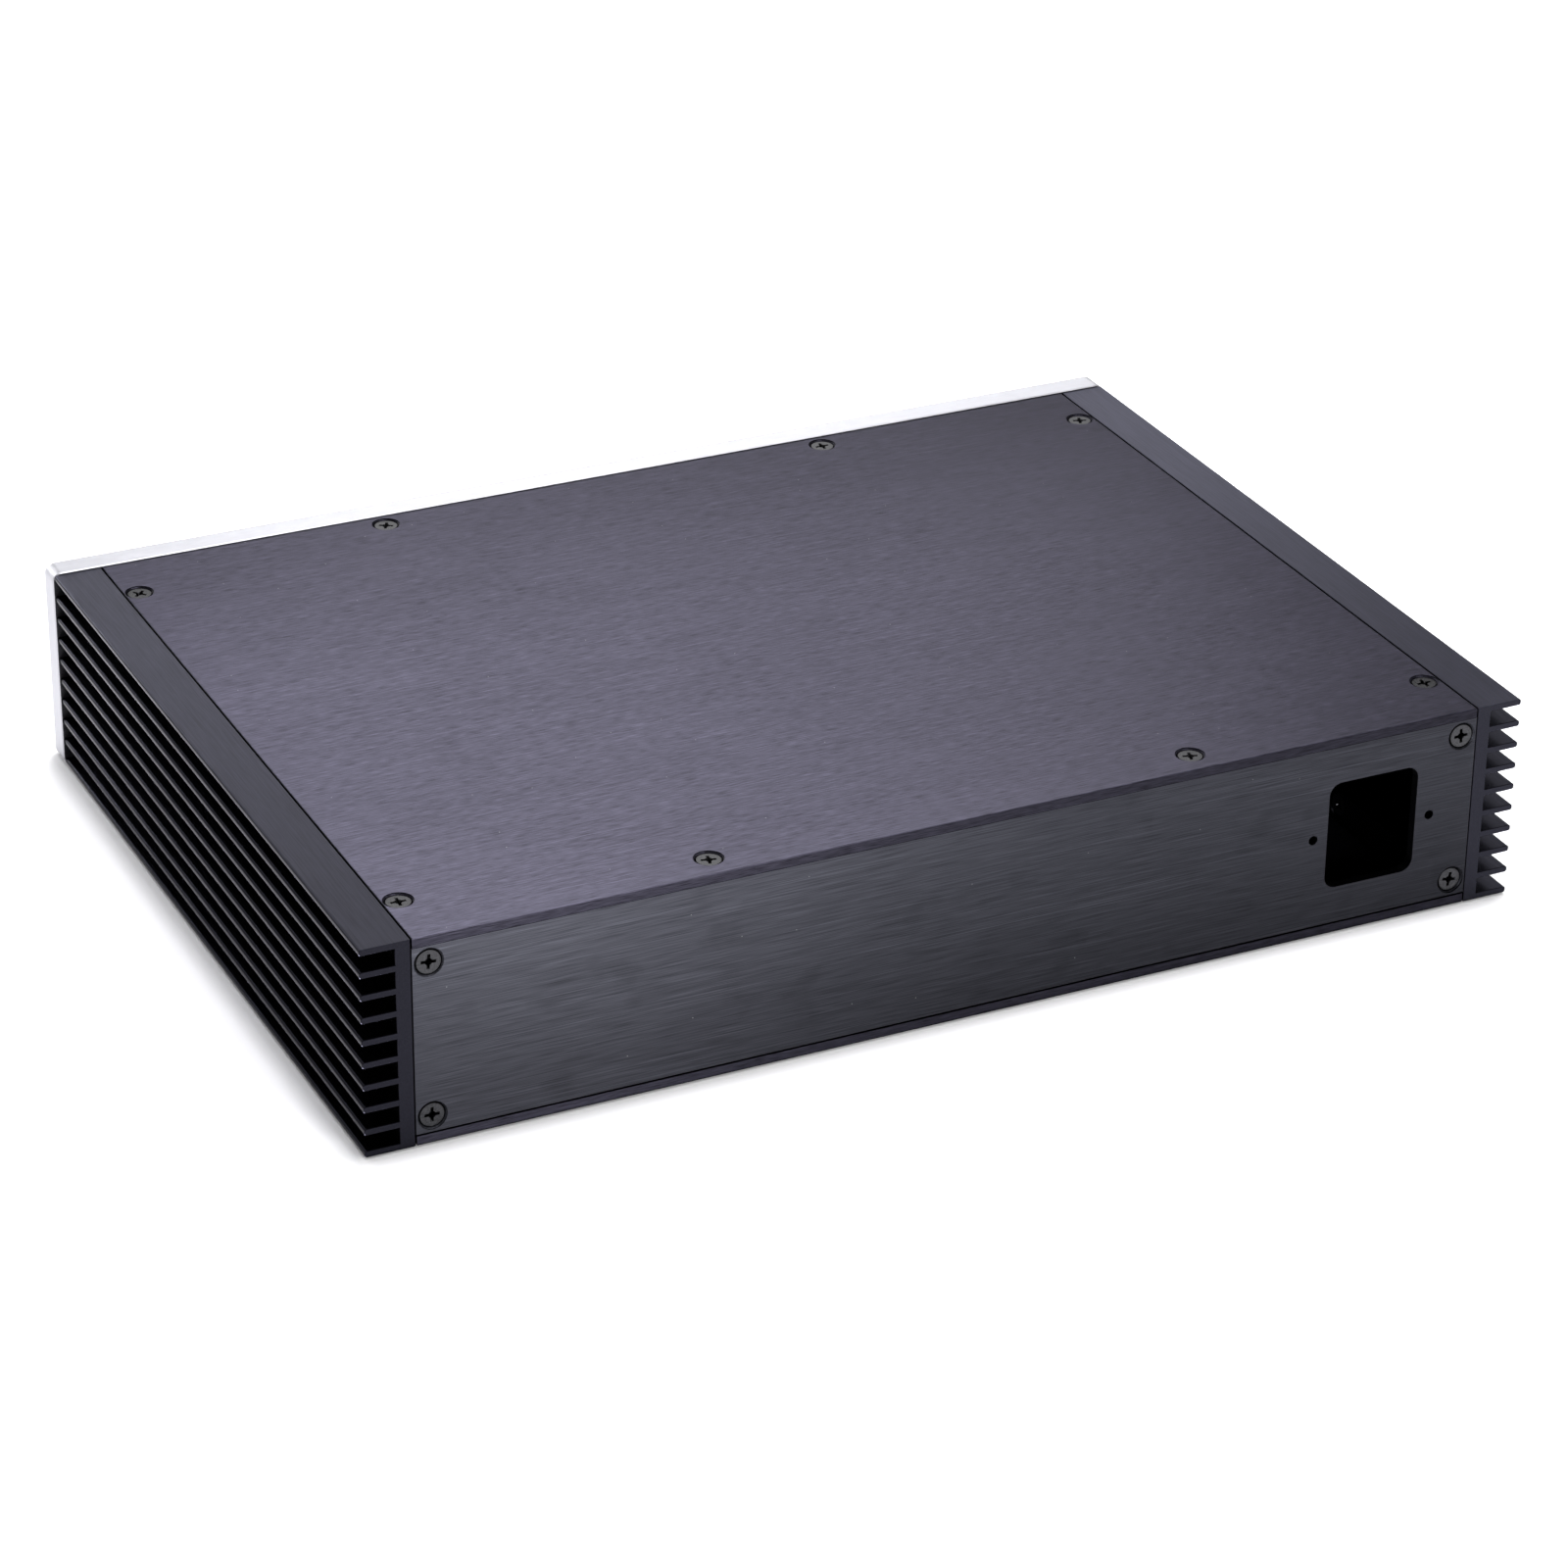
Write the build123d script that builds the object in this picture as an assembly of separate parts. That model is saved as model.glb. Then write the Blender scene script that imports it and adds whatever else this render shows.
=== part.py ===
"""Heat-sink equipment case: two finned side extrusions, a thick front panel, flat covers and a rear panel.

Millimetres. +X is to the right seen from the front, +Y points to the rear, +Z is up. The origin is under the
middle of the whole case, level with the lowest edge of the front panel.
"""
from build123d import *
import os

# ---- overall sizes
FIN_TO_FIN_WIDTH = 370.0
BODY_HEIGHT = 65.5
BODY_LENGTH = 260.5
INNER_WIDTH = 340.0

# ---- front panel
PANEL_THICKNESS = 10.0
PANEL_OVERHANG = 0.6
PANEL_CORNER_RADIUS = 3.0
PANEL_FRONT_RADIUS = 2.4
PANEL_BACK_CHAMFER = 0.35

# ---- heat sinks
FIN_COUNT = 10
FIN_THICKNESS = 2.0
FIN_TIP_RADIUS = 0.8
HEATSINK_BASE = 4.5
HEATSINK_TAPPED_DEPTH = 4.0
HEATSINK_INNER_RADIUS = 0.25
HEATSINK_END_CHAMFER = 0.15

# ---- flat plates
PLATE_THICKNESS = 3.0
PLATE_EDGE_CHAMFER = 0.15
COVER_EDGE_RADIUS = 0.4
COVER_SIDE_GAP = 0.45
REAR_SIDE_GAP = 0.2
REAR_PANEL_HEIGHT = 59.0

# ---- square-section bars of the inner frame
BAR_HEIGHT = 10.5
CROSSBAR_DEPTH = 12.0
BAR_CHAMFER = 0.3
BAR_TAPPED_DEPTH = 9.0
RAIL_FRONT_TAPPED_DEPTH = 6.0
RAIL_REAR_TAPPED_DEPTH = 4.4
PANEL_TAPPED_DEPTH = 6.0

# ---- mains inlet cut-out in the rear panel, for a flanged inlet held by two small screws
INLET_CENTRE_X = -135.3
INLET_WIDTH = 30.4
INLET_HEIGHT = 35.0
INLET_CORNER_RADIUS = 4.0
INLET_SCREW_PITCH = 40.0
INLET_SCREW_RADIUS = 1.5

# ---- M4 countersunk cross-recess screws
THREAD_RADIUS = 2.0
CLEARANCE_RADIUS = 2.25
COUNTERSINK_RADIUS = 4.5
HEAD_RADIUS = 3.7
HEAD_RIM = 0.55
HEAD_BEVEL = 0.12
SCREW_TIP_CHAMFER = 0.5
RECESS_HALF_SPAN = 2.3
RECESS_FLOOR_HALF_SPAN = 0.9
RECESS_WIDTH = 0.95
RECESS_DEPTH = 2.1
RECESS_CORE_RADIUS = 1.15
RECESS_CORE_FLOOR_RADIUS = 0.35
COVER_SCREW_LENGTH = 10.0
REAR_SCREW_LENGTH = 18.0
FRAME_SCREW_LENGTH = 16.0
RAIL_SCREW_LENGTH = 14.0

# ---- where the screws sit
COVER_CORNER_INSET = 22.0
COVER_MIDDLE_X = 77.0
FRONT_PANEL_SCREW_X = (-125.0, 0.0, 125.0)
RAIL_SCREW_Y = (-75.0, 0.0, 75.0)

# How far each countersink was drilled past its full cone: always on the covers, uneven on the rear panel.
COVER_SINK = 0.25
REAR_SINK = {(1, 1): 0.0, (1, -1): 0.2, (-1, 1): 0.05, (-1, -1): 0.4}

# Where each screw's recess stopped when it was tightened, in degrees about the screw.
COVER_CORNER_TURNS = {(1, -1): 43.0, (-1, -1): -20.0, (1, 1): -4.0, (-1, 1): 0.0}
COVER_FRONT_TURNS = {1: 62.0, -1: 0.0}
COVER_REAR_TURNS = {1: -14.0, -1: -17.0}
REAR_TURNS = {(1, 1): -4.0, (1, -1): -1.0, (-1, 1): 3.0, (-1, -1): -10.0}
HIDDEN_TURN_STEP = 31.0

# ---- places worked out from the sizes above
FRONT_Y = -(BODY_LENGTH + PANEL_THICKNESS) / 2
BODY_FRONT_Y = FRONT_Y + PANEL_THICKNESS
BODY_REAR_Y = BODY_FRONT_Y + BODY_LENGTH
BODY_BOTTOM_Z = PANEL_OVERHANG
BODY_TOP_Z = BODY_BOTTOM_Z + BODY_HEIGHT
MIDDLE_Z = (BODY_BOTTOM_Z + BODY_TOP_Z) / 2
HALF_INNER = INNER_WIDTH / 2
HALF_WIDTH = FIN_TO_FIN_WIDTH / 2
FIN_PITCH = (BODY_HEIGHT - FIN_THICKNESS) / (FIN_COUNT - 1)
CROSSBAR_FRONT_Y = BODY_FRONT_Y + CROSSBAR_DEPTH / 2
CROSSBAR_REAR_Y = BODY_REAR_Y - PLATE_THICKNESS - CROSSBAR_DEPTH / 2
RAIL_FRONT_Y = BODY_FRONT_Y + CROSSBAR_DEPTH
RAIL_REAR_Y = CROSSBAR_REAR_Y - CROSSBAR_DEPTH / 2
RAIL_MIDDLE_Y = (RAIL_FRONT_Y + RAIL_REAR_Y) / 2
RAIL_X = HALF_INNER - BAR_HEIGHT / 2
BAR_OFFSET_Z = BODY_HEIGHT / 2 - PLATE_THICKNESS - BAR_HEIGHT / 2
REAR_PANEL_TOP_Z = BODY_TOP_Z - PLATE_THICKNESS
REAR_MIDDLE_Z = REAR_PANEL_TOP_Z - REAR_PANEL_HEIGHT / 2
REAR_SCREW_OFFSET_Z = REAR_PANEL_HEIGHT / 2 - BAR_HEIGHT / 2
COUNTERSINK_CONE = COUNTERSINK_RADIUS - CLEARANCE_RADIUS
HEAD_SEAT = COUNTERSINK_RADIUS - HEAD_RADIUS - HEAD_RIM
CUT_MARGIN = 1.0

SIDES = (-1, 1)
LEVELS = {"top": 1, "bottom": -1}
HANDS = {"left": -1, "right": 1}


# ---------------------------------------------------------------- helpers
def block(x_range, y_range, z_range):
    """A box given by its lowest and highest value along each axis."""
    ranges = (x_range, y_range, z_range)
    sizes = [high - low for low, high in ranges]
    centre = [(low + high) / 2 for low, high in ranges]
    return Pos(*centre) * Box(*sizes)


def bar_level(level):
    """Height of the centre of the upper (1) or lower (-1) bars."""
    return MIDDLE_Z + level * BAR_OFFSET_Z


def rear_screw_level(level):
    """Height of the upper (1) or lower (-1) rear panel screws."""
    return REAR_MIDDLE_Z + level * REAR_SCREW_OFFSET_Z


def facing(point, normal):
    """A place on a surface, with the local Z along the surface's outward normal."""
    sideways = (1, 0, 0) if abs(normal[0]) < 0.5 else (0, 1, 0)
    return Plane(origin=point, x_dir=sideways, z_dir=normal).location


def turned(profile_points):
    """A solid of revolution about local Z from points (radius, height)."""
    outline = Polyline(*profile_points, close=True)
    return revolve(Plane.XZ * make_face(outline), Axis.Z)


def hole_tool(radius, depth):
    """A plain or tapped hole of the given depth below the surface."""
    return turned([(0, CUT_MARGIN), (radius, CUT_MARGIN), (radius, -depth), (0, -depth)])


def countersink_tool(sink, depth):
    """A clearance hole with a 90 degree countersink, drilled straight on by the sink."""
    cone_end = sink + COUNTERSINK_CONE
    return turned([
        (0, CUT_MARGIN),
        (COUNTERSINK_RADIUS, CUT_MARGIN),
        (COUNTERSINK_RADIUS, -sink),
        (CLEARANCE_RADIUS, -cone_end),
        (CLEARANCE_RADIUS, -depth - CUT_MARGIN),
        (0, -depth - CUT_MARGIN),
    ])


def cross_recess():
    """The cross-shaped driver recess: two tapering wings and a cone in the middle."""
    wing_outline = Polyline(
        (-RECESS_HALF_SPAN, 0),
        (-RECESS_FLOOR_HALF_SPAN, -RECESS_DEPTH),
        (RECESS_FLOOR_HALF_SPAN, -RECESS_DEPTH),
        (RECESS_HALF_SPAN, 0),
        close=True,
    )
    wing = extrude(Plane.XZ * make_face(wing_outline), RECESS_WIDTH / 2, both=True)
    core = turned([
        (0, 0),
        (RECESS_CORE_RADIUS, 0),
        (RECESS_CORE_FLOOR_RADIUS, -RECESS_DEPTH),
        (0, -RECESS_DEPTH),
    ])
    return wing + Rot(0, 0, 90) * wing + core


def screw(length):
    """An M4 countersunk screw, its head's top at local Z = 0 and its shank pointing down."""
    head_end = HEAD_RIM + HEAD_RADIUS - THREAD_RADIUS
    body = turned([
        (0, 0),
        (HEAD_RADIUS - HEAD_BEVEL, 0),
        (HEAD_RADIUS, -HEAD_BEVEL),
        (HEAD_RADIUS, -HEAD_RIM),
        (THREAD_RADIUS, -head_end),
        (THREAD_RADIUS, -length + SCREW_TIP_CHAMFER),
        (THREAD_RADIUS - SCREW_TIP_CHAMFER, -length),
        (0, -length),
    ])
    return body - cross_recess()


def seated_screw(length, point, normal, turn, sink):
    """A screw in its countersink at a point of a surface."""
    return facing(point, normal) * Pos(0, 0, -sink - HEAD_SEAT) * Rot(0, 0, turn) * screw(length)


def save(node, shape):
    """Write one node, with its name, to its own STEP file."""
    shape.label = node
    export_step(shape, f"parts/{node}.step")


def save_screws(node, screws):
    """Write a set of loose screws as one node."""
    save(node, Compound(children=[Solid(one.solid().wrapped) for one in screws]))


# ---------------------------------------------------------------- where each kind of screw sits
def cover_screw_places(level):
    """Name of each screw set of a cover, with the point, recess turn and tapped bar of every screw."""
    surface_z = BODY_TOP_Z if level > 0 else BODY_BOTTOM_Z
    corner_y = {-1: BODY_FRONT_Y + COVER_CORNER_INSET, 1: BODY_REAR_Y - COVER_CORNER_INSET}
    corners = [
        ((side * RAIL_X, corner_y[end], surface_z), COVER_CORNER_TURNS[side, end])
        for end in SIDES
        for side in SIDES
    ]
    front = [((side * COVER_MIDDLE_X, CROSSBAR_FRONT_Y, surface_z), COVER_FRONT_TURNS[side]) for side in SIDES]
    rear = [((side * COVER_MIDDLE_X, CROSSBAR_REAR_Y, surface_z), COVER_REAR_TURNS[side]) for side in SIDES]
    return {"corner": corners, "front": front, "rear": rear}


def rear_screw_places():
    """Side, level and point of each rear panel screw."""
    return [
        (side, level, (side * RAIL_X, BODY_REAR_Y, rear_screw_level(level)))
        for side in SIDES
        for level in SIDES
    ]


def frame_screw_places(level):
    """Points on the front of a front crossbar where it is screwed to the ends of the side rails."""
    return [(side * RAIL_X, BODY_FRONT_Y, bar_level(level)) for side in SIDES]


def front_panel_screw_places(level):
    """Points on the back of a front crossbar where it is screwed to the front panel."""
    return [(x, RAIL_FRONT_Y, bar_level(level)) for x in FRONT_PANEL_SCREW_X]


def rail_screw_places(side, level):
    """Points on the inner face of a side rail where it is screwed to the heat sink."""
    inner_x = side * (HALF_INNER - BAR_HEIGHT)
    return [(inner_x, RAIL_MIDDLE_Y + y, bar_level(level)) for y in RAIL_SCREW_Y]


# ---------------------------------------------------------------- pieces
def make_front_panel():
    """Thick plate with rounded corners and front edges, and blind tapped holes in its back."""
    width = FIN_TO_FIN_WIDTH + 2 * PANEL_OVERHANG
    height = BODY_HEIGHT + 2 * PANEL_OVERHANG
    centre = Pos(0, FRONT_Y + PANEL_THICKNESS / 2, height / 2)
    panel = centre * Box(width, PANEL_THICKNESS, height)
    panel = fillet(panel.edges().filter_by(Axis.Y), PANEL_CORNER_RADIUS)
    front_face = panel.faces().sort_by(Axis.Y)[0]
    panel = fillet(front_face.edges(), PANEL_FRONT_RADIUS)
    back_face = panel.faces().sort_by(Axis.Y)[-1]
    panel = chamfer(back_face.edges(), PANEL_BACK_CHAMFER)
    for level in SIDES:
        for x in FRONT_PANEL_SCREW_X:
            place = facing((x, BODY_FRONT_Y, bar_level(level)), (0, 1, 0))
            panel -= place * hole_tool(THREAD_RADIUS, PANEL_TAPPED_DEPTH)
    return panel


def make_heatsink(side):
    """Extruded side wall: a flat base with long fins whose tips are rounded, deburred at both ends."""
    base_outer = HALF_INNER + HEATSINK_BASE
    profile = Pos((HALF_INNER + base_outer) / 2, MIDDLE_Z) * Rectangle(HEATSINK_BASE, BODY_HEIGHT)
    inner_corners = profile.vertices().group_by(Axis.X)[0]
    profile = fillet(inner_corners, HEATSINK_INNER_RADIUS)
    fin_length = HALF_WIDTH - base_outer
    for index in range(FIN_COUNT):
        fin_z = BODY_BOTTOM_Z + FIN_THICKNESS / 2 + index * FIN_PITCH
        fin = Pos((base_outer + HALF_WIDTH) / 2, fin_z) * Rectangle(fin_length, FIN_THICKNESS)
        tips = fin.vertices().group_by(Axis.X)[-1]
        profile += fillet(tips, FIN_TIP_RADIUS)
    section = Plane.XZ.offset(-BODY_FRONT_Y) * profile
    heatsink = extrude(section, -BODY_LENGTH)
    end_faces = heatsink.faces().filter_by(Axis.Y)
    heatsink = chamfer(end_faces.edges(), HEATSINK_END_CHAMFER)
    if side < 0:
        heatsink = mirror(heatsink, Plane.YZ)
    for level in SIDES:
        for _, y, z in rail_screw_places(side, level):
            place = facing((side * HALF_INNER, y, z), (-side, 0, 0))
            heatsink -= place * hole_tool(THREAD_RADIUS, HEATSINK_TAPPED_DEPTH)
    return heatsink


def make_cover(level):
    """Flat cover plate between the heat sinks, from the front panel to the rear face."""
    surface_z = BODY_TOP_Z if level > 0 else BODY_BOTTOM_Z
    inner_z = surface_z - level * PLATE_THICKNESS
    half_width = HALF_INNER - COVER_SIDE_GAP
    z_range = (min(surface_z, inner_z), max(surface_z, inner_z))
    cover = block((-half_width, half_width), (BODY_FRONT_Y, BODY_REAR_Y), z_range)
    outer_face = cover.faces().sort_by(Axis.Z)[-1 if level > 0 else 0]
    cover = fillet(outer_face.edges(), COVER_EDGE_RADIUS)
    for places in cover_screw_places(level).values():
        for point, _ in places:
            cover -= facing(point, (0, 0, level)) * countersink_tool(COVER_SINK, PLATE_THICKNESS)
    return cover


def make_rear_panel():
    """Flat rear plate between the covers, with the mains inlet cut-out and its two tapped holes."""
    half_width = HALF_INNER - REAR_SIDE_GAP
    z_range = (REAR_PANEL_TOP_Z - REAR_PANEL_HEIGHT, REAR_PANEL_TOP_Z)
    panel = block((-half_width, half_width), (BODY_REAR_Y - PLATE_THICKNESS, BODY_REAR_Y), z_range)
    outer_face = panel.faces().sort_by(Axis.Y)[-1]
    panel = chamfer(outer_face.edges(), PLATE_EDGE_CHAMFER)
    for side, level, point in rear_screw_places():
        panel -= facing(point, (0, 1, 0)) * countersink_tool(REAR_SINK[side, level], PLATE_THICKNESS)
    inlet = facing((INLET_CENTRE_X, BODY_REAR_Y, REAR_MIDDLE_Z), (0, 1, 0))
    window = RectangleRounded(INLET_WIDTH, INLET_HEIGHT, INLET_CORNER_RADIUS)
    panel -= inlet * extrude(window, PLATE_THICKNESS + CUT_MARGIN, both=True)
    for side in SIDES:
        hole = hole_tool(INLET_SCREW_RADIUS, PLATE_THICKNESS + CUT_MARGIN)
        panel -= inlet * Pos(side * INLET_SCREW_PITCH / 2, 0, 0) * hole
    return panel


def make_bar(x_range, y_range, level):
    """Square-edged aluminium bar at the upper or lower level, with broken edges."""
    centre_z = bar_level(level)
    bar = block(x_range, y_range, (centre_z - BAR_HEIGHT / 2, centre_z + BAR_HEIGHT / 2))
    return chamfer(bar.edges(), BAR_CHAMFER)


def tap_for_cover(bar, level, names):
    """Tap a bar for the cover screws that reach it."""
    bar_face_z = bar_level(level) + level * BAR_HEIGHT / 2
    bounds = bar.bounding_box()
    places = cover_screw_places(level)
    for name in names:
        for (x, y, _), _ in places[name]:
            if bounds.min.X < x < bounds.max.X and bounds.min.Y < y < bounds.max.Y:
                bar -= facing((x, y, bar_face_z), (0, 0, level)) * hole_tool(THREAD_RADIUS, BAR_TAPPED_DEPTH)
    return bar


def make_side_rail(side, level):
    """Rail along a heat sink, countersunk for its own screws and tapped at both ends."""
    inner_x = side * (HALF_INNER - BAR_HEIGHT)
    x_range = sorted((inner_x, side * HALF_INNER))
    rail = make_bar(x_range, (RAIL_FRONT_Y, RAIL_REAR_Y), level)
    rail = tap_for_cover(rail, level, ["corner"])
    for point in rail_screw_places(side, level):
        rail -= facing(point, (-side, 0, 0)) * countersink_tool(0.0, BAR_HEIGHT)
    front_end = facing((side * RAIL_X, RAIL_FRONT_Y, bar_level(level)), (0, -1, 0))
    rear_end = facing((side * RAIL_X, RAIL_REAR_Y, rear_screw_level(level)), (0, 1, 0))
    rail -= front_end * hole_tool(THREAD_RADIUS, RAIL_FRONT_TAPPED_DEPTH)
    rail -= rear_end * hole_tool(THREAD_RADIUS, RAIL_REAR_TAPPED_DEPTH)
    return rail


def make_front_crossbar(level):
    """Crossbar behind the front panel, countersunk on both faces."""
    bar = make_bar((-HALF_INNER, HALF_INNER), (BODY_FRONT_Y, RAIL_FRONT_Y), level)
    bar = tap_for_cover(bar, level, ["front"])
    for point in frame_screw_places(level):
        bar -= facing(point, (0, -1, 0)) * countersink_tool(0.0, CROSSBAR_DEPTH)
    for point in front_panel_screw_places(level):
        bar -= facing(point, (0, 1, 0)) * countersink_tool(0.0, CROSSBAR_DEPTH)
    return bar


def make_rear_crossbar(level):
    """Crossbar in front of the rear panel, tapped through for the rear panel screws."""
    rear_face_y = BODY_REAR_Y - PLATE_THICKNESS
    bar = make_bar((-HALF_INNER, HALF_INNER), (RAIL_REAR_Y, rear_face_y), level)
    bar = tap_for_cover(bar, level, ["rear"])
    for side in SIDES:
        place = facing((side * RAIL_X, rear_face_y, rear_screw_level(level)), (0, 1, 0))
        bar -= place * hole_tool(THREAD_RADIUS, CROSSBAR_DEPTH + CUT_MARGIN)
    return bar


# ---------------------------------------------------------------- assembly
def save_cover_screws():
    """The corner, front and rear screw sets of both covers."""
    for level_name, level in LEVELS.items():
        for set_name, places in cover_screw_places(level).items():
            screws = [
                seated_screw(COVER_SCREW_LENGTH, point, (0, 0, level), turn, COVER_SINK)
                for point, turn in places
            ]
            save_screws(f"{level_name}_cover_{set_name}_screws", screws)


def save_rear_panel_screws():
    """The four screws that hold the rear panel."""
    screws = [
        seated_screw(REAR_SCREW_LENGTH, point, (0, 1, 0), REAR_TURNS[side, level], REAR_SINK[side, level])
        for side, level, point in rear_screw_places()
    ]
    save_screws("rear_panel_screws", screws)


def save_hidden_screws():
    """The screws of the inner frame, reached only with the covers or the front panel off."""
    frame_places = [point for level in SIDES for point in frame_screw_places(level)]
    panel_places = [point for level in SIDES for point in front_panel_screw_places(level)]
    sets = {
        "front_frame_screws": (FRAME_SCREW_LENGTH, (0, -1, 0), frame_places),
        "front_panel_screws": (FRAME_SCREW_LENGTH, (0, 1, 0), panel_places),
    }
    for hand, side in HANDS.items():
        rail_places = [point for level in SIDES for point in rail_screw_places(side, level)]
        sets[f"heatsink_{hand}_screws"] = (RAIL_SCREW_LENGTH, (-side, 0, 0), rail_places)
    for node, (length, normal, places) in sets.items():
        screws = [
            seated_screw(length, point, normal, index * HIDDEN_TURN_STEP, 0.0)
            for index, point in enumerate(places)
        ]
        save_screws(node, screws)


def main():
    """Build every piece and write it to its own file."""
    os.makedirs("parts", exist_ok=True)
    save("front_panel", make_front_panel())
    save("rear_panel", make_rear_panel())
    for hand, side in HANDS.items():
        save(f"heatsink_{hand}", make_heatsink(side))
    for level_name, level in LEVELS.items():
        save(f"{level_name}_cover", make_cover(level))
        save(f"crossbar_front_{level_name}", make_front_crossbar(level))
        save(f"crossbar_rear_{level_name}", make_rear_crossbar(level))
        for hand, side in HANDS.items():
            save(f"side_rail_{hand}_{level_name}", make_side_rail(side, level))
    save_cover_screws()
    save_rear_panel_screws()
    save_hidden_screws()


main()
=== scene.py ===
"""Looks of the heat-sink equipment case: camera, studio and the finish of every piece.

Metres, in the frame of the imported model: +X right seen from the front, +Y to the rear, +Z up.
"""
import bpy
import math
from mathutils import Matrix, Vector


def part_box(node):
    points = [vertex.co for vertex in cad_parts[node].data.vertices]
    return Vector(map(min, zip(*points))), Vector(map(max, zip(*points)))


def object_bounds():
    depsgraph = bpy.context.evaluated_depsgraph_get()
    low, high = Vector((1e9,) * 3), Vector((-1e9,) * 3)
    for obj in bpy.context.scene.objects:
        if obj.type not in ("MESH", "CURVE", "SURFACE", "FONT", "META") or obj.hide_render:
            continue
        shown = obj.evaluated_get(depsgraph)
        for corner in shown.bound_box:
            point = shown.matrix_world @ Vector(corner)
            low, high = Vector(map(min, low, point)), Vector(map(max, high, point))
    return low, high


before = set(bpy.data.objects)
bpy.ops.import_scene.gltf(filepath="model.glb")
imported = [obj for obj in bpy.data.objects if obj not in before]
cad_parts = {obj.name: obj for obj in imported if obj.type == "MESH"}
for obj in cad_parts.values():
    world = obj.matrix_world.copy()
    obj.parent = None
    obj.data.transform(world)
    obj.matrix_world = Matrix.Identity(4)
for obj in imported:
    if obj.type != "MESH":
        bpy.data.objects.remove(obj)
cad_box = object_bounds()

# ---- camera
LENS_MM = 115.958
SENSOR_MM = 36.0
CAMERA_AIM = Vector((-0.00047, 0.01347, 0.01932))
CAMERA_DISTANCE = 1.55035
CAMERA_AZIMUTH = 154.240
CAMERA_ELEVATION = 27.469
CAMERA_ROLL = 0.670
NEAREST_SEEN = 0.01
FARTHEST_SEEN = 100.0

# ---- studio
FLOOR_RADIUS = 12.0
FLOOR_SEGMENTS = 96
FLOOR_COLORS = [(0.90, 0.90, 0.905, 1.0), (0.91, 0.91, 0.915, 1.0)]
FLOOR_CLOUD_CELLS = (3.0, 3.0, 3.0)
FLOOR_ROUGHNESS = 0.9
# painted light: the floor glows beyond a strip round the case, lifting the case's shadow off it
FLOOR_PAINTED_LIGHT_COLOR = (0.95, 0.94, 1.0, 1.0)
FLOOR_PAINTED_LIGHT_STRENGTH = 0.40
FLOOR_PAINTED_LIGHT_START = 0.001
FLOOR_PAINTED_LIGHT_FULL = 0.007
WALL_STRENGTH = 1.26
CEILING_STRENGTH = 0.46
WALL_TOP = 0.04
CEILING_FROM = 0.25
WORLD_COLOR = (1.0, 0.995, 1.0)
STUDIO_CENTRE = Vector((0.0, 0.0, 0.03))

# Each softbox: azimuth and elevation of its place in degrees, distance, width, height, power in watts.
SOFTBOXES = {
    "softbox_overhead": (314.0, 77.0, 1.04, 0.82, 0.94, 19.0),
    "softbox_front_high": (337.0, 29.0, 1.07, 0.57, 0.35, 1.57),
    "softbox_front_low": (17.0, 10.0, 1.43, 0.69, 0.50, 8.5),
    "softbox_rear": (182.0, 16.0, 0.62, 0.21, 0.16, 1.82),
}

# ---- grains: layers of strokes, each with its cells per metre along and across them, and its weight
COVER_GRAIN = [((220.0, 3600.0), 0.80), ((110.0, 1700.0), 0.35), ((30.0, 500.0), 0.10)]
REAR_GRAIN = [((60.0, 4600.0), 0.80), ((110.0, 2200.0), 0.30), ((25.0, 600.0), 0.10)]
EXTRUSION_GRAIN = [((60.0, 4200.0), 0.80), ((120.0, 2000.0), 0.35)]

# ---- scratches, clouds, smudges and mottle: cells per metre, between which noise values, and strength
SCRATCH_CELLS = (14.0, 2600.0)
SCRATCH_NOISE = (0.72, 0.76)
SCRATCH_CONTRAST = 0.35
CLOUD_CELLS = (12.0, 25.0, 25.0)
CLOUD_CONTRAST = 0.25
SMUDGE_CELLS = (45.0, 45.0, 60.0)
SMUDGE_NOISE = (0.58, 0.70)
MOTTLE_CELLS = (1800.0, 1800.0, 1800.0)
MOTTLE_CONTRAST = 1.5

# ---- dust: spacing and radius of the specks, and the share of places that have one
PLATE_DUST = (0.018, 0.00018, 0.3)
FIN_DUST = (0.02, 0.0002, 0.3)
DUST_COLOR = (0.16, 0.16, 0.165, 1.0)
DUST_CORE = 0.5
CHANCE_STEP = 0.01

# ---- painted shade in crevices: how wide a joint still gets painted shade, between which opennesses, and the darkest painted shades
PAINTED_SHADE_REACH = 0.0016
SLOT_PAINTED_SHADE_REACH = 0.012
PAINTED_SHADE_OPENNESS = (0.70, 0.96)
PAINTED_SHADE_SAMPLES = 4
PLATE_PAINTED_SHADE = 0.03
HEATSINK_PAINTED_SHADE = 0.3
SCREW_PAINTED_SHADE = 0.2
SLOT_PAINTED_SHADE = 0.10

# ---- metals
EDGE_TINT = (0.85, 0.85, 0.85, 1.0)
EXTRUSION_EDGE_TINT = (0.7, 0.7, 0.7, 1.0)
BRUSHED_ROUGHNESS = 0.45
BRUSHED_ROUGHNESS_SPREAD = 0.2
BLACK_ANISOTROPY = 0.9
ACROSS = {"X": (0.0, 1.0, 0.6), "Y": (1.0, 0.0, 0.6)}
CUT_FACING = (0.75, 0.9)
SQUARE_FACING = (0.8, 0.95)
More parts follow.
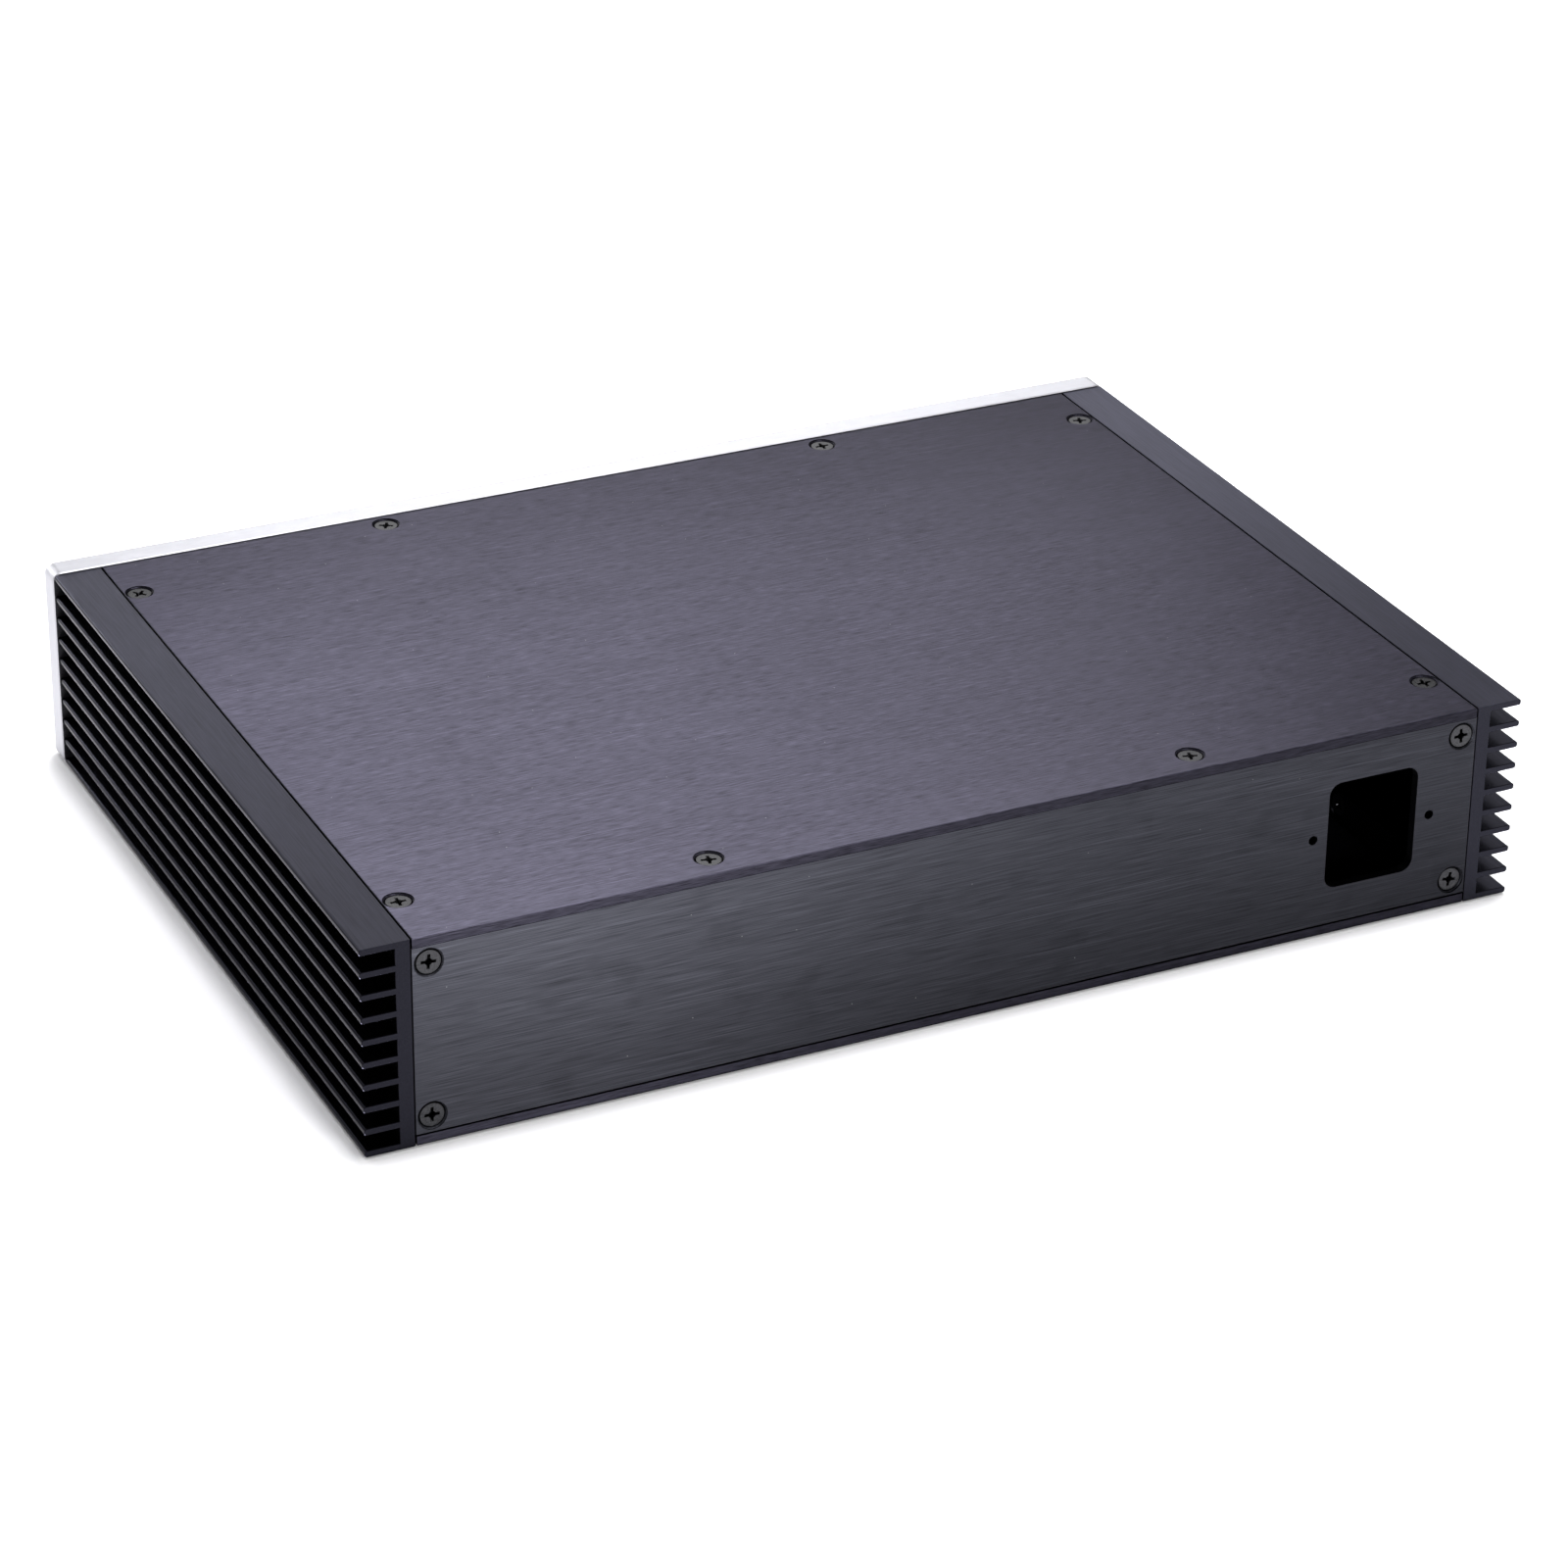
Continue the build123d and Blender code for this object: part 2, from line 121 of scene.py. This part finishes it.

# Each brushed black finish: the axis, layers and strength of its strokes, its colour, the axes its cut edges
# look along and their share of the shade, the plane that holds its dust, the strength of its smudges, and its
# painted light and shade drifting slowly along the piece: the axis, where the drift starts and ends, and the
# painted shade at either end.
BRUSHED_BLACK = {
    "black_brushed_cover": {
        "grain_axis": "X",
        "layers": COVER_GRAIN,
        "streak": 2.4,
        "color": (0.0410, 0.0390, 0.0550),
        "cut_axes": (1.0, 1.0, 0.0),
        "cut_share": 0.56,
        "dust_axes": "XY",
        "smudge": 0.0,
        "painted_light_drift": ("Y", -0.125, -0.02, 0.70, 1.0),
    },
    "black_brushed_rear": {
        "grain_axis": "X",
        "layers": REAR_GRAIN,
        "streak": 1.8,
        "color": (0.0357, 0.0364, 0.0443),
        "cut_axes": (1.0, 0.0, 1.0),
        "cut_share": 0.1,
        "dust_axes": "XZ",
        "smudge": 0.16,
        "painted_light_drift": ("Z", 0.015, 0.058, 0.72, 1.14),
    },
    "black_drawn_bar": {
        "grain_axis": "Y",
        "layers": EXTRUSION_GRAIN,
        "streak": 1.5,
        "color": (0.020, 0.020, 0.024),
        "cut_axes": (0.0, 1.0, 0.0),
        "cut_share": 0.8,
        "dust_axes": "XY",
        "smudge": 0.0,
        "painted_light_drift": None,
    },
}

# ---- heat sinks: shares of the shade of their brushed top and bottom, with painted shade on fin tips and slot floors and a painted highlight on each fin's lower lip, and the slopes that mark a fin's faces
EXTRUSION_COLOR = (0.0580, 0.0578, 0.0785)
EXTRUSION_STREAK = 1.3
EXTRUSION_CUT_SHARE = 0.42
EXTRUSION_PAINTED_LIGHT_DRIFT = ("Y", -0.06, 0.12, 1.10, 0.74)
FIN_TIP_PAINTED_SHADE = 0.27
FIN_FLAT_SHARE = 1.3
FIN_LIP_PAINTED_HIGHLIGHT = 14.0
LIP_START = (-0.15, -0.30)
LIP_END = (-0.8, -0.7)
FIN_ROUGHNESS = 0.16
FIN_ROUGHNESS_SPREAD = 0.1
BRUSHED_DEPTH = (0.0004, 0.0001)
HEATSINK_LOW, HEATSINK_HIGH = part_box("heatsink_right")

# ---- front panel
SILVER_COLOR = (0.43, 0.43, 0.46)
SILVER_STREAK = 0.35
SILVER_ROUGHNESS_SPREAD = 0.3
SILVER_ANISOTROPY = 0.3
STROKE_DEPTH = 0.000004

# ---- screws
STEEL_COLOR = (0.042, 0.042, 0.045)
STEEL_ROUGHNESS = 0.32
STEEL_ROUGHNESS_SPREAD = 0.3
MOTTLE_DEPTH = 0.00002


def direction(azimuth, elevation):
    """Unit vector towards a place at this elevation and azimuth, which is 0 in front and 90 to the right."""
    a = math.radians(azimuth)
    e = math.radians(elevation)
    return Vector((math.sin(a) * math.cos(e), -math.cos(a) * math.cos(e), math.sin(e)))


def add_object(name, data):
    """A new object in the scene's own collection."""
    made = bpy.data.objects.new(name, data)
    bpy.context.scene.collection.objects.link(made)
    return made


# ---------------------------------------------------------------- node helper
class Finish:
    """A node material, with short calls for adding and linking its nodes."""

    def __init__(self, name):
        self.material = bpy.data.materials.new(name)
        self.material.use_nodes = True
        self.nodes = self.material.node_tree.nodes
        self.links = self.material.node_tree.links
        self.shader = self.nodes["Principled BSDF"]
        self.place = self.add("ShaderNodeTexCoord").outputs["Object"]

    def add(self, kind, inputs=None, **settings):
        """A node with its settings and its inputs, each a value or another node's output."""
        node = self.nodes.new(kind)
        for key, value in settings.items():
            setattr(node, key, value)
        for key, value in (inputs or {}).items():
            self.feed(node.inputs[key], value)
        return node

    def feed(self, socket, value):
        """Set a socket to a value, or link another node's output to it."""
        if isinstance(value, bpy.types.NodeSocket):
            self.links.new(value, socket)
        else:
            socket.default_value = value

    def principled(self, **values):
        """Set or link inputs of the Principled shader; underscores in the names stand for spaces."""
        for key, value in values.items():
            self.feed(self.shader.inputs[key.replace("_", " ")], value)

    def scaled(self, cells):
        """Position in the frame times cells per metre along each axis."""
        return self.add("ShaderNodeVectorMath", {0: self.place, 1: cells}, operation="MULTIPLY").outputs[0]

    def noise(self, cells, detail):
        """Noise from 0 to 1, with this many cells per metre along each axis."""
        inputs = {"Vector": self.scaled(cells), "Scale": 1.0, "Detail": detail}
        return self.add("ShaderNodeTexNoise", inputs).outputs[0]

    def swing(self, cells, detail):
        """Noise round zero."""
        return self.math("SUBTRACT", self.noise(cells, detail), 0.5)

    def ranged(self, value, low, high, to_low, to_high):
        """Value mapped from low..high to to_low..to_high, clamped."""
        inputs = {
            "Value": value,
            "From Min": low,
            "From Max": high,
            "To Min": to_low,
            "To Max": to_high,
        }
        return self.add("ShaderNodeMapRange", inputs).outputs[0]

    def math(self, operation, first, second):
        """One arithmetic step."""
        return self.add("ShaderNodeMath", {0: first, 1: second}, operation=operation).outputs[0]

    def times(self, first, second):
        """Product of two values."""
        return self.math("MULTIPLY", first, second)

    def varied(self, middle, value, strength):
        """A value round zero, made stronger and set round the middle."""
        return self.math("ADD", middle, self.times(value, strength))

    def part_of(self, vector, axis):
        """One component of a vector."""
        return self.add("ShaderNodeSeparateXYZ", {0: vector}).outputs[axis]

    def facing(self, axis):
        """How far a smoothed surface looks along an axis, from -1 to 1."""
        return self.part_of(self.add("ShaderNodeNewGeometry").outputs["Normal"], axis)

    def blend(self, factor, first, second):
        """Value between first and second."""
        node = self.add("ShaderNodeMix", data_type="FLOAT")
        self.feed(node.inputs[0], factor)
        self.feed(node.inputs[2], first)
        self.feed(node.inputs[3], second)
        return node.outputs[0]

    def mix(self, factor, first, second):
        """Colour between first and second."""
        node = self.add("ShaderNodeMix", data_type="RGBA")
        self.feed(node.inputs[0], factor)
        self.feed(node.inputs[6], first)
        self.feed(node.inputs[7], second)
        return node.outputs[2]

    def bump(self, height, distance):
        """Normal of a surface raised by height times distance."""
        inputs = {"Height": height, "Distance": distance, "Strength": 1.0}
        return self.add("ShaderNodeBump", inputs).outputs[0]

    def vector(self, x, y, z):
        """A vector from its three components."""
        return self.add("ShaderNodeCombineXYZ", {0: x, 1: y, 2: z}).outputs[0]


# ---------------------------------------------------------------- finishes
def cells_along(axis, grain):
    """Cells per metre along each axis for a grain that runs along this axis."""
    along, across = grain
    cells = [across] * 3
    cells["XYZ".index(axis)] = along
    return cells


def brushed_grain(finish, axis, layers):
    """Brush marks along an axis, from long faint bands to fine hairlines, as a value round zero."""
    total = 0.0
    for grain, weight in layers:
        total = finish.varied(total, finish.swing(cells_along(axis, grain), detail=1.0), weight)
    return total


def cut_faces(finish, cut_axes):
    """1 on faces that look along one of the cut axes, 0 on the others."""
    normal = finish.add("ShaderNodeNewGeometry").outputs["True Normal"]
    masked = finish.add("ShaderNodeVectorMath", {0: normal, 1: cut_axes}, operation="MULTIPLY").outputs[0]
    length = finish.add("ShaderNodeVectorMath", {0: masked}, operation="LENGTH").outputs["Value"]
    return finish.ranged(length, *CUT_FACING, 0.0, 1.0)


def specks(finish, flat_axes, dust):
    """Small round spots scattered over a flat face: 1 on a spot, 0 elsewhere."""
    spacing, radius, share = dust
    flat = finish.vector(*(finish.part_of(finish.place, axis) for axis in flat_axes), 0.0)
    inputs = {"Vector": flat, "Scale": 1.0 / spacing}
    cell = finish.add("ShaderNodeTexVoronoi", inputs, voronoi_dimensions="2D")
    reach = radius / spacing
    near = finish.ranged(cell.outputs["Distance"], DUST_CORE * reach, reach, 1.0, 0.0)
    chance = finish.add("ShaderNodeSeparateColor", {0: cell.outputs["Color"]}).outputs[0]
    return finish.times(near, finish.ranged(chance, 1.0 - share, 1.0 - share + CHANCE_STEP, 0.0, 1.0))


def painted_crevice_shade(finish, reach, darkest):
    """Painted shade in joints and recesses narrower than the reach, 1 where the surface is open."""
    occlusion = finish.add("ShaderNodeAmbientOcclusion", {"Distance": reach}, samples=PAINTED_SHADE_SAMPLES)
    return finish.ranged(occlusion.outputs["AO"], *PAINTED_SHADE_OPENNESS, darkest, 1.0)


def tinted(finish, color, value):
    """A colour times a value."""
    return finish.add("ShaderNodeVectorMath", {0: color, "Scale": value}, operation="SCALE").outputs[0]


def painted_light_level(finish, painted_light_drift):
    """Painted light and shade changing slowly along one axis of a piece, between two places."""
    axis, start, end, first, last = painted_light_drift
    return finish.ranged(finish.part_of(finish.place, axis), start, end, first, last)


def black_anodised(name, grain_axis, layers, streak, color, cut_axes, cut_share, dust_axes, smudge, painted_light_drift):
    """Black anodised plate brushed along one axis, with dark cut edges, scratches, dust and smudges, painted
    shade in its joints and, where given, a slow painted drift of light and shade.
    """
    finish = Finish(name)
    grain = brushed_grain(finish, grain_axis, layers)
    cloud = finish.swing(CLOUD_CELLS, detail=3.0)
    scratch = finish.noise(cells_along(grain_axis, SCRATCH_CELLS), detail=0.0)
    scratch = finish.ranged(scratch, *SCRATCH_NOISE, 0.0, 1.0)
    dirt = finish.ranged(finish.noise(SMUDGE_CELLS, detail=4.0), *SMUDGE_NOISE, 0.0, smudge)
    level = finish.varied(1.0, grain, streak)
    level = finish.varied(level, cloud, CLOUD_CONTRAST)
    level = finish.varied(level, scratch, SCRATCH_CONTRAST)
    level = finish.times(level, finish.math("SUBTRACT", 1.0, dirt))
    # painted light and shade: where a drift is given, the plate grows lighter or darker along one axis
    if painted_light_drift:
        level = finish.times(level, painted_light_level(finish, painted_light_drift))
    level = finish.times(level, finish.blend(cut_faces(finish, cut_axes), 1.0, cut_share))
    # painted shade: the plate is darkened in its joints, countersinks and recesses
    level = finish.times(level, painted_crevice_shade(finish, PAINTED_SHADE_REACH, PLATE_PAINTED_SHADE))
    dust = specks(finish, dust_axes, PLATE_DUST)
    finish.principled(
        Base_Color=finish.mix(dust, tinted(finish, color, level), DUST_COLOR),
        Metallic=1.0,
        Roughness=finish.varied(BRUSHED_ROUGHNESS, grain, BRUSHED_ROUGHNESS_SPREAD),
        Anisotropic=BLACK_ANISOTROPY,
        Specular_Tint=EDGE_TINT,
        Tangent=finish.vector(*ACROSS[grain_axis]),
    )
    return finish.material


def black_extrusion(name):
    """Black anodised heat sink: brushed top and bottom, cut ends, smooth fins with painted shade on their
    tips and a painted highlight on their lower lip, painted shade in its joints and a slow painted drift of
    light and shade.
    """
    finish = Finish(name)
    grain = brushed_grain(finish, "Y", EXTRUSION_GRAIN)
    height = finish.part_of(finish.place, "Z")
    inner, outer = BRUSHED_DEPTH
    above = finish.ranged(height, HEATSINK_HIGH[2] - inner, HEATSINK_HIGH[2] - outer, 0.0, 1.0)
    below = finish.ranged(height, HEATSINK_LOW[2] + outer, HEATSINK_LOW[2] + inner, 1.0, 0.0)
    brushed = finish.math("MAXIMUM", above, below)
    cut = cut_faces(finish, (0.0, 1.0, 0.0))
    slope = finish.facing("Z")
    flat = finish.ranged(slope, *SQUARE_FACING, 0.0, 1.0)
    # painted highlight on each fin's lower lip, painted shade on the fins' tips and slot floors
    lip = finish.times(finish.ranged(slope, *LIP_START, 0.0, 1.0), finish.ranged(slope, *LIP_END, 0.0, 1.0))
    fin = finish.blend(lip, finish.blend(flat, FIN_TIP_PAINTED_SHADE, FIN_FLAT_SHARE), FIN_LIP_PAINTED_HIGHLIGHT)
    level = finish.varied(1.0, grain, EXTRUSION_STREAK)
    level = finish.times(level, finish.blend(brushed, finish.blend(cut, fin, 1.0), 1.0))
    level = finish.times(level, finish.blend(cut, 1.0, EXTRUSION_CUT_SHARE))
    # painted light and shade: the heat sink grows darker towards the rear
    level = finish.times(level, painted_light_level(finish, EXTRUSION_PAINTED_LIGHT_DRIFT))
    # painted shade: the heat sink is darkened in its joints and recesses
    level = finish.times(level, painted_crevice_shade(finish, PAINTED_SHADE_REACH, HEATSINK_PAINTED_SHADE))
    dust = finish.times(specks(finish, "YZ", FIN_DUST), finish.math("SUBTRACT", 1.0, cut))
    smooth = finish.varied(FIN_ROUGHNESS, grain, FIN_ROUGHNESS_SPREAD)
    rough = finish.varied(BRUSHED_ROUGHNESS, grain, BRUSHED_ROUGHNESS_SPREAD)
    finish.principled(
        Base_Color=finish.mix(dust, tinted(finish, EXTRUSION_COLOR, level), DUST_COLOR),
        Metallic=1.0,
        Roughness=finish.blend(finish.math("MAXIMUM", brushed, cut), smooth, rough),
        Anisotropic=BLACK_ANISOTROPY,
        Specular_Tint=EXTRUSION_EDGE_TINT,
        Tangent=finish.vector(*ACROSS["Y"]),
    )
    return finish.material


def silver_anodised(name):
    """Clear anodised aluminium, finely brushed along X, with painted shade on its back where it meets the
    heat sinks.
    """
    finish = Finish(name)
    grain = brushed_grain(finish, "X", COVER_GRAIN)
    behind = finish.ranged(finish.facing("Y"), *SQUARE_FACING, 0.0, 1.0)
    level = finish.varied(1.0, grain, SILVER_STREAK)
    # painted shade: the back of the panel is darkened between the heat sinks' fins
    level = finish.times(level, finish.blend(behind, 1.0, painted_crevice_shade(finish, SLOT_PAINTED_SHADE_REACH, SLOT_PAINTED_SHADE)))
    finish.principled(
        Base_Color=tinted(finish, SILVER_COLOR, level),
        Metallic=1.0,
        Roughness=finish.varied(BRUSHED_ROUGHNESS, grain, SILVER_ROUGHNESS_SPREAD),
        Anisotropic=SILVER_ANISOTROPY,
        Tangent=finish.vector(*ACROSS["X"]),
        Normal=finish.bump(grain, STROKE_DEPTH),
    )
    return finish.material


def black_steel(name):
    """Black plated screw steel: satin, mottled, with painted shade in its recess and round its head."""
    finish = Finish(name)
    mottle = finish.swing(MOTTLE_CELLS, detail=3.0)
    level = finish.varied(1.0, mottle, MOTTLE_CONTRAST)
    # painted shade: the screw is darkened in its cross recess and in the ring round its head
    level = finish.times(level, painted_crevice_shade(finish, PAINTED_SHADE_REACH, SCREW_PAINTED_SHADE))
    finish.principled(
        Base_Color=tinted(finish, STEEL_COLOR, level),
        Metallic=1.0,
        Roughness=finish.varied(STEEL_ROUGHNESS, mottle, STEEL_ROUGHNESS_SPREAD),
        Specular_Tint=EDGE_TINT,
        Normal=finish.bump(mottle, MOTTLE_DEPTH),
    )
    return finish.material


def floor_finish():
    """Plain pale floor with painted light: a glow that lifts the case's shadow, none under the case and close
    round it.
    """
    finish = Finish("studio_floor")
    beyond = [
        finish.math("SUBTRACT", finish.math("ABSOLUTE", finish.part_of(finish.place, axis), 0.0), half_size)
        for axis, half_size in zip("XY", cad_box[1])
    ]
    away = finish.math("MAXIMUM", *beyond)
    finish.principled(
        Base_Color=finish.mix(finish.noise(FLOOR_CLOUD_CELLS, detail=2.0), *FLOOR_COLORS),
        Roughness=FLOOR_ROUGHNESS,
        Emission_Color=FLOOR_PAINTED_LIGHT_COLOR,
        Emission_Strength=finish.ranged(away, FLOOR_PAINTED_LIGHT_START, FLOOR_PAINTED_LIGHT_FULL, 0.0, FLOOR_PAINTED_LIGHT_STRENGTH),
    )
    return finish.material


def dress(node, material):
    """Give a CAD node its finish."""
    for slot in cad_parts[node].material_slots:
        slot.material = material


def dress_all():
    """Give every CAD node its finish."""
    brushed = {name: black_anodised(name, **look) for name, look in BRUSHED_BLACK.items()}
    extrusion = black_extrusion("black_extruded")
    silver = silver_anodised("silver_anodised_panel")
    steel = black_steel("black_plated_steel")
    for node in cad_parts:
        if node.endswith("_screws"):
            dress(node, steel)
        elif node.endswith("_cover"):
            dress(node, brushed["black_brushed_cover"])
        elif node.startswith("heatsink"):
            dress(node, extrusion)
        elif node == "rear_panel":
            dress(node, brushed["black_brushed_rear"])
        elif node == "front_panel":
            dress(node, silver)
        else:
            dress(node, brushed["black_drawn_bar"])


# ---------------------------------------------------------------- studio
def make_camera():
    """Camera behind, to the side and above, looking down at the case."""
    back = direction(CAMERA_AZIMUTH, CAMERA_ELEVATION)
    camera = add_object("camera", bpy.data.cameras.new("camera"))
    camera.data.lens = LENS_MM
    camera.data.sensor_width = SENSOR_MM
    camera.data.clip_start = NEAREST_SEEN
    camera.data.clip_end = FARTHEST_SEEN
    aimed = (-back).to_track_quat("-Z", "Y").to_matrix()
    rolled = aimed @ Matrix.Rotation(math.radians(CAMERA_ROLL), 3, "Z")
    camera.matrix_world = Matrix.LocRotScale(CAMERA_AIM + back * CAMERA_DISTANCE, rolled, None)
    bpy.context.scene.camera = camera


def make_floor():
    """Large round plain floor."""
    turns = [math.tau * i / FLOOR_SEGMENTS for i in range(FLOOR_SEGMENTS)]
    points = [(FLOOR_RADIUS * math.cos(turn), FLOOR_RADIUS * math.sin(turn), 0.0) for turn in turns]
    mesh = bpy.data.meshes.new("floor")
    mesh.from_pydata(points, [], [list(range(FLOOR_SEGMENTS))])
    mesh.materials.append(floor_finish())
    floor = add_object("floor", mesh)


def make_softboxes():
    """Large soft lights, all aimed at the middle of the case."""
    for name, (azimuth, elevation, distance, width, height, power) in SOFTBOXES.items():
        back = direction(azimuth, elevation)
        lamp = bpy.data.lights.new(name, "AREA")
        lamp.shape = "RECTANGLE"
        lamp.size = width
        lamp.size_y = height
        lamp.energy = power
        light = add_object(name, lamp)
        light.visible_camera = False
        light.location = STUDIO_CENTRE + back * distance
        light.rotation_mode = "QUATERNION"
        light.rotation_quaternion = (-back).to_track_quat("-Z", "Y")


def make_world():
    """Pale walls all round, dimmer overhead."""
    world = bpy.data.worlds.new("studio")
    world.use_nodes = True
    nodes = world.node_tree.nodes
    links = world.node_tree.links
    background = nodes["Background"]
    place = nodes.new("ShaderNodeTexCoord")
    axes = nodes.new("ShaderNodeSeparateXYZ")
    fade = nodes.new("ShaderNodeMapRange")
    fade.interpolation_type = "SMOOTHSTEP"
    fade.inputs["From Min"].default_value = WALL_TOP
    fade.inputs["From Max"].default_value = CEILING_FROM
    fade.inputs["To Min"].default_value = WALL_STRENGTH
    fade.inputs["To Max"].default_value = CEILING_STRENGTH
    links.new(place.outputs["Generated"], axes.inputs[0])
    links.new(axes.outputs["Z"], fade.inputs["Value"])
    links.new(fade.outputs[0], background.inputs["Strength"])
    background.inputs["Color"].default_value = (*WORLD_COLOR, 1.0)
    bpy.context.scene.world = world
    bpy.context.scene.view_settings.view_transform = "Standard"


make_camera()
make_world()
make_floor()
make_softboxes()
dress_all()
